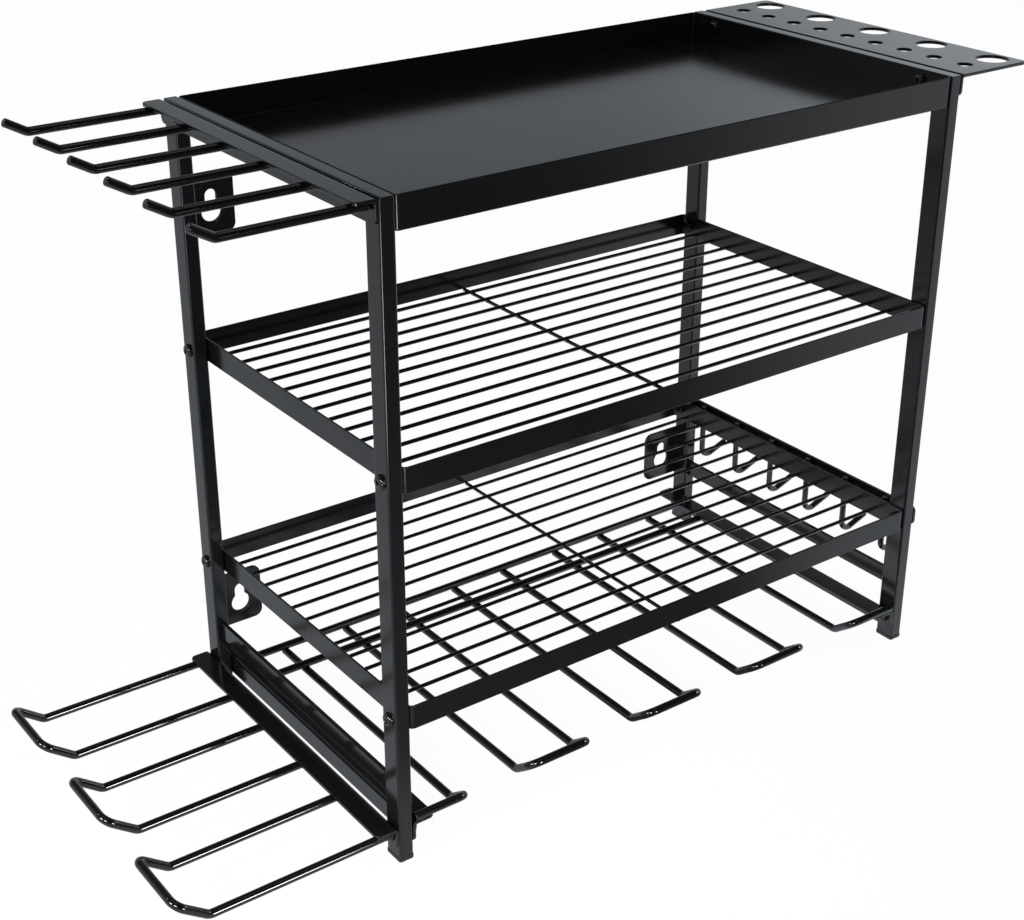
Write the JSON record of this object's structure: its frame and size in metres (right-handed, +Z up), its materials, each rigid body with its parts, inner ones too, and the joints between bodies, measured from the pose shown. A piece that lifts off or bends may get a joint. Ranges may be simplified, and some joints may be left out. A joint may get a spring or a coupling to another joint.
{
  "type": "wall tool organizer",
  "caption": "Black powder-coated steel tool organizer with a tray, wire shelves, drill slots, side loops, plier hooks and a screwdriver plate, standing or hung on a wall.",
  "frame": {"origin": "middle of the four keyholes' round holes, on the plane of the wall", "axes": "+X along the width to the right as seen from the front, +Y towards the wall, +Z up"},
  "size_m": [0.6607, 0.2512, 0.431],
  "materials": {
    "frame_coat": "semi-gloss black powder coat",
    "rod_coat": "glossier black powder coat on round rod",
    "foot_plastic": "matte moulded black",
    "fixings": "black coated steel"
  },
  "bodies": {
    "root": {"drill_loop_1": "rod_coat", "drill_loop_2": "rod_coat", "drill_loop_3": "rod_coat", "drill_loop_4": "rod_coat", "drill_loop_5": "rod_coat", "drill_rack_bolts": "fixings", "drill_rack_front_bar": "rod_coat", "drill_rack_left_angle": "frame_coat", "drill_rack_nuts": "fixings", "drill_rack_rear_bar": "rod_coat", "drill_rack_right_angle": "frame_coat", "hook_rack_angle": "frame_coat", "hook_strip": "frame_coat", "left_cross_bar": "frame_coat", "left_front_foot": "foot_plastic", "left_front_leg": "frame_coat", "left_lower_wall_tab": "frame_coat", "left_rear_foot": "foot_plastic", "left_rear_leg": "frame_coat", "left_top_rail": "frame_coat", "left_upper_wall_tab": "frame_coat", "lower_shelf_bolts": "fixings", "lower_shelf_cross_wire": "rod_coat", "lower_shelf_nuts": "fixings", "lower_shelf_rim": "frame_coat", "lower_shelf_wires": "rod_coat", "middle_shelf_bolts": "fixings", "middle_shelf_cross_wire": "rod_coat", "middle_shelf_nuts": "fixings", "middle_shelf_rim": "frame_coat", "middle_shelf_wires": "rod_coat", "plier_hook_1": "rod_coat", "plier_hook_2": "rod_coat", "plier_hook_3": "rod_coat", "plier_hook_4": "rod_coat", "plier_hook_5": "rod_coat", "plier_hook_6": "rod_coat", "right_cross_bar": "frame_coat", "right_front_foot": "foot_plastic", "right_front_leg": "frame_coat", "right_lower_wall_tab": "frame_coat", "right_rear_foot": "foot_plastic", "right_rear_leg": "frame_coat", "right_top_rail": "frame_coat", "right_upper_wall_tab": "frame_coat", "screwdriver_plate": "frame_coat", "side_loop_1": "rod_coat", "side_loop_2": "rod_coat", "side_loop_3": "rod_coat", "side_rack_angle": "frame_coat", "strip_hook_1": "rod_coat", "strip_hook_2": "rod_coat", "strip_hook_3": "rod_coat", "strip_hook_4": "rod_coat", "strip_hook_5": "rod_coat", "strip_hook_6": "rod_coat", "top_tray": "frame_coat", "tray_bolts": "fixings", "tray_nuts": "fixings"}
  },
  "joints": []
}
